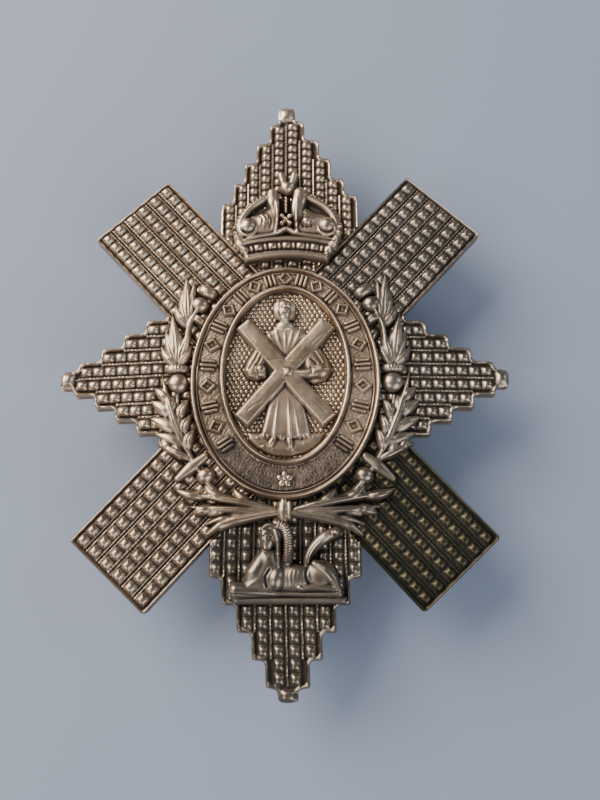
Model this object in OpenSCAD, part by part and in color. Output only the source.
// Star-shaped cap badge, built up from mounts pegged to a struck star plate.
// Lies face up: +Z out of the face, +Y towards the crown. Millimetres.
// Z = 0 is the flat back of the star plate, and X = Y = 0 is the star's centre.

/* [Star plate] */
// Centre to the upper tip
upper_tip = 35.5; // [35:0.1:36]
// Centre to the lower tip
lower_tip = 34.5; // [34:0.1:35]
// Centre to the left tip
left_tip = 25.8; // [25.3:0.1:26.2]
// Centre to the right tip
right_tip = 25.3; // [25:0.1:26]
// Thickness of the plate
plate_t = 1.0; // [0.8:0.1:1.2]
// Angle of the straight arms above the X axis, degrees
arm_angle = 47.3; // [46:0.1:48.5]
// Width of a straight arm
arm_w = 11.5; // [11.2:0.1:11.7]
// Shortest reach of a straight arm from where its centre line crosses the Y axis
arm_reach = 27.6; // [27:0.1:28]

/* [Oval belt] */
// Half width of the belt's outer edge
belt_a = 10.75; // [10.6:0.05:10.9]
// Half height of the belt's outer edge
belt_b = 13.6; // [13.4:0.05:13.7]
// Height of the belt's flat above the plate
belt_h = 1.2; // [0.9:0.1:1.3]
// Width of each raised rim
rim_w = 0.72; // [0.6:0.02:0.8]

/* [Mounts] */
// Height of the crown above the plate
crown_h = 2.1; // [1.4:0.1:2.2]
// Height of the sphinx above the plate
sphinx_h = 2.3; // [1.5:0.1:2.4]
// Height of the wreath above the plate
wreath_h = 1.4; // [1:0.1:1.5]
// Radius of the pegs that hold the mounts
peg_r = 0.55; // [0.45:0.05:0.6]

/* [Loops and pin] */
// Centre to either loop
loop_x = 12; // [11.5:0.1:12.2]
// Radius of the loop's wire
loop_wire_r = 0.55; // [0.5:0.05:0.6]
// Inside radius of the loop's eye
loop_eye_r = 1.3; // [1.25:0.05:1.5]
// Depth of the eye's centre under the plate's back
loop_drop = 4.2; // [4.1:0.1:5]
// Radius of the closed split pin
pin_r = 0.75; // [0.6:0.05:0.8]
// Length of the pin's legs
pin_leg = 33; // [31:0.5:36]

/* [Backing plate] */
// Length of the backing plate
backing_l = 33; // [31:0.5:34]
// Width of the backing plate
backing_w = 11; // [9:0.5:13]
// Thickness of the backing plate
backing_t = 0.5; // [0.4:0.05:0.6]

/* [Hidden] */
$fn = 48;

fit = 0.02;             // gap between two pieces that sit side by side
white_metal = [0.62, 0.56, 0.49];
brass = [0.78, 0.62, 0.32];
copper = [0.68, 0.42, 0.28];

ray_root = 2.5;         // how far a ray runs past the star's centre
tip_half = 1.05;        // half width of the single bead at a ray's tip
column_w = 1.1;         // width of a column of beads
arm_offset = 1.2;       // height at which the upper arms' centre lines cross the Y axis
row_pitch = 1.84;       // width of one row of beads in a straight arm
row_count = 6;
row_start = 13;         // distance at which the rows come out from under the wreath
strip_h = 0.45;         // height of a row of beads
strip_root = 0.2;       // depth of a row let into the plate
strip_gap = 0.5;        // plain width between two rows
seat_a = 16;            // half width of the plain seat of the mounts
seat_b = 17.2;          // half height of it

belt_y = -0.25;         // centre of the belt's outer edge
window_a = 6.78;        // half width of the belt's opening
window_b = 9.9;         // half height of the belt's opening
window_y = 0.5;         // centre of the opening
rim_h = 0.5;            // height of the rims above the belt's flat
ornament_step = 12;     // degrees from one ornament of the belt to the next
ornament_first = 4;     // the belt's foot is plain up to this place on each side
ornament_last = 26;
ornament_a = 8.78;      // half width of the ornament's middle line
ornament_b = 11.75;     // half height of it
ornament_y = 0.12;      // centre of it
ornament_h = 0.45;
field_t = 0.4;          // thickness of the plate in the opening

eye_r = loop_eye_r + loop_wire_r;    // radius of the wire's centre line round the eye
pin_z = -loop_drop - loop_eye_r + pin_r + 0.05;
backing_z = pin_z + pin_r + 0.05;    // underside of the backing plate, resting over the pin
hole_gap = 0.02;                     // play between a peg and its hole

belt_peg_places = [[-8.6, 3.5], [8.6, 3.5], [-6.6, -8.5], [6.6, -8.5]];
crown_peg_places = [[-3.6, 16.2], [3.6, 16.2]];
wreath_peg_places = [[-11.3, -7.2], [11.3, -7.2], [-11.4, 7.6], [11.4, 7.6]];
sphinx_peg_places = [[-3.6, -23.2], [3.8, -22.6]];

// Columns of a ray, from its tip outwards: middle, outer edge of the step, reach of the step.
even_columns = [
    [0.80, 2.02, 23.8], [2.40, 3.62, 21.3], [4.00, 5.22, 18.8], [5.60, 6.82, 16.3],
    [7.20, 8.42, 13.8]];
left_low_columns = [
    [0.80, 2.02, 24.2], [2.40, 3.62, 21.7], [4.00, 5.22, 19.3], [5.60, 6.82, 16.8],
    [7.20, 8.42, 14.2]];
lower_columns = [
    [0.84, 2.32, 33.2], [2.48, 3.72, 30.45], [4.10, 5.28, 27.7], [5.72, 6.86, 24.9],
    [7.36, 8.2, 22.1]];
upper_left_columns = [
    [0.90, 2.15, 33.1], [2.48, 3.75, 30.4], [3.92, 5.22, 27.7], [5.32, 6.51, 24.95],
    [6.78, 7.9, 22.2]];
upper_right_columns = [
    [0.76, 2.2, 33.55], [2.48, 4.06, 30.9], [4.14, 5.48, 28.3], [5.66, 7.13, 25.5],
    [7.26, 8.7, 23.3]];

// The hand-cut rays lean a little: lean per millimetre, height it starts from, height where it ends.
no_lean = [0, 0, 0];
lower_lean = [-0.028, 20, 20];
left_lean = [-0.045, 12, 25];
right_lean = [0.02, 12, 21];

function ellipse(a, b, y, n = 72) = [for (i = [0:n - 1]) [a * cos(i * 360 / n), y + b * sin(i * 360 / n)]];

function lean_at(lean, y) = lean[0] * (max(y, lean[1]) - lean[2]);

// One side of a stepped ray that points along +Y, from its tip down to the centre.
function ray_side(tip, columns) = concat(
    [[tip_half, tip], [tip_half, columns[0][2]]],
    [for (i = [0:len(columns) - 1])
        for (y = [columns[i][2], i < len(columns) - 1 ? columns[i + 1][2] : -ray_root])
        [columns[i][1], y]]);

function mirrored(points) = [for (i = [len(points) - 1:-1:0]) [-points[i][0], points[i][1]]];

function leaning(points, lean) = concat(
    [for (p = points) [p[0] + lean_at(lean, p[1]), p[1]]]);

module both_sides() {
    children();
    mirror([1, 0, 0]) children();
}

module stepped_ray(tip, right, left, lean) {
    polygon(leaning(concat(ray_side(tip, right), mirrored(ray_side(tip, left))), lean));
}

// One straight arm: side is 1 for the right, up is 1 for the upper arms.
module on_arm(side, up) {
    translate([0, up * arm_offset]) rotate(up * (side > 0 ? arm_angle : 180 - arm_angle)) children();
}

// The arms are not quite equal: the lower ones and the upper right one reach a little further.
function arm_length(side, up) = arm_reach + (up > 0 ? (side > 0 ? 0.3 : 0) : (side > 0 ? 0.4 : 0.7));

module arm_outlines() {
    for (side = [-1, 1], up = [-1, 1]) on_arm(side, up)
        translate([0, -arm_w / 2]) square([arm_length(side, up), arm_w]);
}

module star_outline() {
    stepped_ray(upper_tip, upper_right_columns, upper_left_columns, no_lean);
    rotate(180) stepped_ray(lower_tip, lower_columns, lower_columns, lower_lean);
    rotate(90) stepped_ray(left_tip, even_columns, left_low_columns, left_lean);
    rotate(-90) stepped_ray(right_tip, even_columns, even_columns, right_lean);
    arm_outlines();
}

// Raised columns of beads on one side of a stepped ray, clear of the arms beside it.
module ray_columns(columns, side, lean, start) {
    for (i = [0:len(columns) - 1]) {
        top = columns[i][2] - strip_gap;
        low = start + max(i - 2, 0) * 1.9;
        middle = side * columns[i][0] + lean_at(lean, (top + low) / 2);
        if (top > low) translate([middle - column_w / 2, low, 0])
            cube([column_w, top - low, strip_root + strip_h]);
    }
}

module both_columns(right, left, lean, start) {
    ray_columns(right, 1, lean, start);
    ray_columns(left, -1, lean, start);
}

module arm_rows() {
    for (side = [-1, 1], up = [-1, 1], row = [0:row_count - 1]) on_arm(side, up)
        translate([row_start, (row - (row_count - 1) / 2) * row_pitch - (row_pitch - strip_gap) / 2, 0])
            cube([arm_length(side, up) - row_start - strip_gap, row_pitch - strip_gap, strip_root + strip_h]);
}

// The strips stop where the wreath and the crown sit flat on the plate.
module beaded_strips() {
    difference() {
        union() {
            both_columns(upper_right_columns, upper_left_columns, no_lean, 27);
            rotate(180) both_columns(lower_columns, lower_columns, lower_lean, 25.5);
            rotate(90) both_columns(even_columns, left_low_columns, left_lean, 14);
            rotate(-90) both_columns(even_columns, even_columns, right_lean, 14);
            arm_rows();
        }
        translate([0, 0, -1]) linear_extrude(3) {
            polygon(ellipse(seat_a, seat_b, -0.5));
            translate([-13.6, -17.4]) square([27.2, 31.4]);
        }
    }
}

module star_plate() color(white_metal) {
    difference() {
        union() {
            linear_extrude(plate_t) star_outline();
            translate([0, 0, plate_t - strip_root]) beaded_strips();
        }
        for (p = concat(belt_peg_places, crown_peg_places, wreath_peg_places, sphinx_peg_places))
            translate([p[0], p[1], -1]) cylinder(r = peg_r + hole_gap, h = plate_t + 2);
        for (side = [-1, 1], leg = [-1, 1])
            translate([side * loop_x, leg * eye_r, -1])
                cylinder(r = loop_wire_r + hole_gap, h = plate_t + 2);
    }
}

module oval_ring(a, b, y, inner_a, inner_b, inner_y, h) {
    linear_extrude(h) difference() {
        polygon(ellipse(a, b, y));
        polygon(ellipse(inner_a, inner_b, inner_y));
    }
}

module lozenge(half_l, half_w) polygon([[-half_l, 0], [0, -half_w], [half_l, 0], [0, half_w]]);

// Lozenge frames and groups of three bars by turns, along the middle of the belt's flat.
module belt_ornament() {
    for (i = [ornament_first:ornament_last]) let (t = 270 - i * ornament_step)
        translate([ornament_a * cos(t), ornament_y + ornament_b * sin(t), 0])
            rotate(atan2(ornament_b * cos(t), -ornament_a * sin(t)))
                linear_extrude(ornament_h) {
                    if (i % 2 == 1) difference() {
                        lozenge(0.98, 1.12);
                        lozenge(0.52, 0.6);
                    }
                    else for (k = [-1:1]) translate([0.5 * k - 0.17, -1.04 + 0.2 * abs(k)])
                        square([0.34, 2.08 - 0.4 * abs(k)]);
                }
}

module oval_belt() color(white_metal) translate([0, 0, plate_t]) {
    oval_ring(belt_a, belt_b, belt_y, window_a, window_b, window_y, belt_h);
    translate([0, 0, belt_h - 0.1]) belt_ornament();
    translate([0, 0, belt_h]) {
        oval_ring(belt_a, belt_b, belt_y, belt_a - rim_w, belt_b - rim_w, belt_y, rim_h);
        oval_ring(window_a + rim_w, window_b + rim_w, window_y, window_a, window_b, window_y, rim_h);
    }
}

module field_plate() color(white_metal) translate([0, 0, plate_t])
    linear_extrude(field_t) polygon(ellipse(window_a - fit, window_b - fit, window_y));

// Flower that hides the join at the foot of the belt.
module belt_rosette() color(white_metal) translate([0, -11.65, plate_t + belt_h]) {
    cylinder(r = 0.45, h = 0.55);
    for (i = [0:4]) rotate(90 + i * 72) translate([0.5, 0, 0]) cylinder(r = 0.42, h = 0.4);
}

module saint_and_cross() color(white_metal) translate([0, 0, plate_t + field_t]) {
    for (turn = [49.5, -49.5]) translate([0, 0.55, 0]) rotate(turn)
        translate([-7.6, -1.15, 0]) cube([15.2, 2.3, 1.2]);
    linear_extrude(1.5) {
        polygon([[-1.9, 5.6], [-0.8, 6.3], [0.9, 6.3], [2.1, 5.5], [3.4, 3.2], [4.5, 1.4], [4.2, 0.2],
            [2.6, -0.6],
                 [3.0, -6.6], [-2.7, -6.6], [-2.0, -0.4], [-3.1, 0.2], [-3.8, 1.0], [-3.0, 3.0]]);
        polygon(ellipse(1.25, 1.55, 7.6, 24));
    }
    linear_extrude(0.7)
        polygon([[-4.2, -6.3], [4.4, -6.3], [3.2, -7.9], [1.4, -8.6], [-1.2, -8.6], [-3.1, -7.9]]);
}

// Curved bands of the crown's circlet share the centre of the arc under them.
crown_arc_y = -4.26;
module crown_band(low, high, half_angle, h) {
    angles = [for (i = [0:12]) 90 - half_angle + i * half_angle / 6];
    linear_extrude(h) translate([0, crown_arc_y]) polygon(concat(
        [for (t = angles) [low * cos(t), low * sin(t)]],
        [for (i = [12:-1:0]) [high * cos(angles[i]), high * sin(angles[i])]]));
}

module crown() color(white_metal) translate([0, 0, plate_t]) {
    crown_band(18.8, 21.8, 15.6, crown_h - 0.4);
    crown_band(18.8, 19.7, 14.9, crown_h - 0.1);
    crown_band(21.0, 21.5, 16.3, crown_h - 0.1);
    linear_extrude(crown_h - 0.9)
        polygon([[-5.5, 16.6], [-6.0, 18.2], [-5.6, 19.8], [-4.6, 21.1], [-3.2, 22.1],
        [-1.6, 22.7], [0.2, 22.9], [1.9, 22.7], [3.5, 22.1], [5.0, 21.0], [6.1, 19.7], [6.5, 18.2],
        [6.0, 16.6]]);
    for (boss = [[-4.5, 18.75, 1.05], [4.9, 18.75, 1.05], [-2.6, 19.35, 1.0], [2.7, 19.35, 1.0],
        [0, 19.45, 0.7]])
        translate([boss[0], boss[1], 0]) cylinder(r = boss[2], h = crown_h - 0.2);
    both_sides() {
        linear_extrude(crown_h)
            polygon([[0.95, 17.6], [1.5, 17.6], [1.75, 20.6], [2.45, 22.4], [2.45, 22.95],
            [1.05, 22.95], [0.95, 20.6]]);
        linear_extrude(crown_h - 0.1) polygon([[4.6, 14.6], [5.2, 14.6], [6.5, 17.9], [5.8, 18.4]]);
    }
}

// Round orb under a cross whose two upper arms flare apart.
module crown_orb() color(white_metal) translate([0, 0, plate_t]) {
    translate([0.15, 23.95, 0]) cylinder(r = 0.95, h = crown_h - 0.4);
    linear_extrude(crown_h - 0.3)
        polygon([[-0.35, 24.0], [-1.05, 25.8], [-0.1, 25.8], [0.17, 24.95], [0.45, 25.8],
        [1.5, 25.8], [0.65, 24.0]]);
}

// Leaf outline: pointed at its tip, which lies along +X, and narrow at its root.
function leaf(l, w, n = 8) = concat(
    [for (i = [0:n]) [l * i / n, w / 2 * pow(sin(180 * i / n), 0.8)]],
    [for (i = [n - 1:-1:1]) [l * i / n, -w / 2 * pow(sin(180 * i / n), 0.8)]]);

// Each leaf of the left spray: root x, root y, length, width, direction.
spray_leaves = [
    [-1.2, -14.8, 11.0, 1.7, 171], [-4.0, -14.1, 2.3, 1.1, 139], [-6.5, -13.7, 2.8, 1.1, 149],
    [-9.0, -13.3, 2.4, 1.0, 158], [-1.4, -15.1, 9.8, 1.3, 176.5], [-5.0, -14.9, 2.8, 1.0, 194.5],
    [-7.6, -14.8, 2.4, 0.9, 194.5], [-10.9, -8.5, 9.7, 2.2, 110], [-11.3, -7.6, 3.9, 1.3, 157],
    [-12.0, -5.9, 3.8, 1.4, 152], [-12.8, -3.9, 3.0, 1.3, 142], [-13.5, -2.0, 2.0, 1.0, 135],
    [-11.9, -6.0, 2.6, 1.1, 92], [-12.6, -4.2, 2.4, 1.1, 92], [-10.5, -9.5, 4.5, 1.5, 152],
    [-11.9, -4.9, 2.7, 1.0, 68], [-11.4, -6.7, 2.7, 1.1, 73], [-10.9, -8.3, 2.7, 1.1, 73],
    [-12.4, 1.3, 3.1, 1.1, 127], [-12.4, 1.3, 3.1, 1.1, 61], [-12.4, 1.3, 4.9, 1.3, 107.5],
    [-12.4, 1.3, 5.1, 1.3, 76.5], [-12.4, 1.3, 6.6, 1.5, 97.5], [-12.4, 1.3, 4.6, 1.3, 87.5],
    [-11.3, 6.2, 3.3, 1.2, 118], [-11.3, 6.2, 4.9, 1.3, 100.5], [-11.3, 6.2, 6.7, 1.4, 93.5],
    [-11.3, 6.2, 6.2, 1.1, 85.5]];

// Thistle heads of the left spray: x, y, radius.
spray_heads = [[-12.15, -0.6, 1.2], [-12.25, 1.1, 1.1], [-10.0, 8.85, 1.1], [-9.15, 10.4, 0.95],
               [-8.75, -11.15, 1.05], [-10.0, -10.0, 0.7]];

spray_stem = [[-1.1, -15.0], [-4, -14.5], [-7.1, -13.3], [-9.3, -10.9], [-10.9, -8.1], [-11.8, -5.2],
              [-12.2, -2.2], [-12.1, 2.0], [-11.5, 4.4], [-11.1, 6.4], [-10.4, 8.2]];
spray_end = [[-1.1, -15.25], [-3.4, -15.6], [-5.6, -16.1], [-7.9, -17.2]];

module stem_outline(points, w) {
    for (i = [0:len(points) - 2])
        let (d = points[i + 1] - points[i])
            translate(points[i]) rotate(atan2(d[1], d[0]))
                translate([-0.1, -w / 2]) square([norm(d) + 0.2, w]);
}

module spray_outline() {
    difference() {
        union() {
            for (s = spray_leaves) translate([s[0], s[1]]) rotate(s[4]) polygon(leaf(s[2], s[3]));
            stem_outline(spray_stem, 0.75);
            stem_outline(spray_end, 0.85);
        }
        polygon(ellipse(belt_a + fit, belt_b + fit, belt_y));
    }
}

module spray() {
    translate([0, 0, plate_t]) {
        linear_extrude(wreath_h - 0.3) spray_outline();
        difference() {
            for (s = spray_heads) translate([s[0], s[1], 0]) cylinder(r = s[2], h = wreath_h);
            translate([0, 0, -1]) linear_extrude(4) polygon(ellipse(belt_a + fit, belt_b + fit, belt_y));
        }
    }
}

module wreath_left() color(white_metal) spray();
module wreath_right() color(white_metal) mirror([1, 0, 0]) spray();

module wreath_tie() color(white_metal) translate([-0.8, -16.0, plate_t])
    cube([1.6, 2.1, wreath_h]);

module sphinx() color(white_metal) translate([0, 0, plate_t]) {
    translate([-5.4, -24.7, 0]) cube([12.0, 0.7, sphinx_h - 0.7]);
    translate([-5.06, -23.35, 0]) cylinder(r = 0.82, h = sphinx_h - 0.2);
    linear_extrude(sphinx_h - 0.6)
        polygon([[-5.06, -24.1], [-5.06, -22.55], [-0.4, -23.2], [6.2, -23.3], [6.2, -24.1]]);
    linear_extrude(sphinx_h - 0.9)
        polygon([[-4.1, -23.4], [-3.9, -22.2], [-2.95, -20.75], [-2.2, -19.4], [-0.2, -19.4],
        [0.7, -20.65], [2.2, -20.95], [2.95, -20.25], [4.2, -20.65], [5.3, -21.9], [6.1, -23.4]]);
    translate([3.8, -21.95, 0]) cylinder(r = 1.6, h = sphinx_h - 0.3);
    translate([-0.95, -22.2, 0]) cylinder(r = 1.0, h = sphinx_h - 0.1);
    translate([-1.7, -18.0, 0]) cylinder(r = 1.15, h = sphinx_h);
    translate([-0.8, -20.8, 0]) cube([1.8, 4.1, sphinx_h - 0.4]);
    linear_extrude(sphinx_h - 0.8)
        polygon([[1.95, -21.1], [2.1, -19.6], [2.95, -18.4], [4.2, -17.4], [5.6, -16.95],
        [6.2, -17.1], [6.2, -17.6], [4.9, -18.1], [3.8, -18.9], [3.1, -20.0], [2.8, -21.1]]);
}

module pegs(places) color(copper)
    for (p = places) translate([p[0], p[1], 0]) cylinder(r = peg_r, h = plate_t);

module belt_pegs() pegs(belt_peg_places);
module crown_pegs() pegs(crown_peg_places);
module wreath_pegs() pegs(wreath_peg_places);
module sphinx_pegs() pegs(sphinx_peg_places);

// Wire bent round an eye, its legs let into the plate.
module loop(x) color(copper) translate([x, 0, 0]) {
    for (leg = [-1, 1]) translate([0, leg * eye_r, -loop_drop])
        cylinder(r = loop_wire_r, h = loop_drop + plate_t);
    translate([0, 0, -loop_drop]) rotate([90, 0, 90]) rotate([0, 0, 180])
        rotate_extrude(angle = 180) translate([eye_r, 0]) circle(r = loop_wire_r);
}

module left_loop() loop(-loop_x);
module right_loop() loop(loop_x);

// Half-round wire folded back on itself round an eye.
pin_eye_r = 2.1;
pin_eye_wire = 0.5;
module split_pin() color(brass) translate([0, 0, pin_z]) {
    head = -pin_leg / 2;
    difference() {
        translate([head, 0, 0]) rotate([0, 90, 0]) cylinder(r = pin_r, h = pin_leg);
        translate([head - 1, -0.04, -pin_r - 1]) cube([pin_leg + 2, 0.08, 2 * pin_r + 2]);
    }
    translate([head - pin_eye_r, 0, 0]) rotate_extrude() translate([pin_eye_r, 0]) circle(r = pin_eye_wire);
}

module backing_plate() color(brass) translate([0, 0, backing_z]) {
    end_r = backing_w / 2;
    slot_x = 2 * loop_wire_r + 0.8;
    slot_y = 2 * (eye_r + loop_wire_r) + 0.8;
    difference() {
        union() {
            translate([-backing_l / 2 + end_r, -end_r, 0])
                cube([backing_l - 2 * end_r, backing_w, backing_t]);
            for (side = [-1, 1]) translate([side * (backing_l / 2 - end_r), 0, 0])
                cylinder(r = end_r, h = backing_t);
        }
        for (side = [-1, 1])
            translate([side * loop_x - slot_x / 2, -slot_y / 2, -1]) cube([slot_x, slot_y, backing_t + 2]);
    }
}

star_plate();
oval_belt();
field_plate();
belt_rosette();
saint_and_cross();
crown();
crown_orb();
wreath_left();
wreath_right();
wreath_tie();
sphinx();
belt_pegs();
crown_pegs();
wreath_pegs();
sphinx_pegs();
left_loop();
right_loop();
split_pin();
backing_plate();
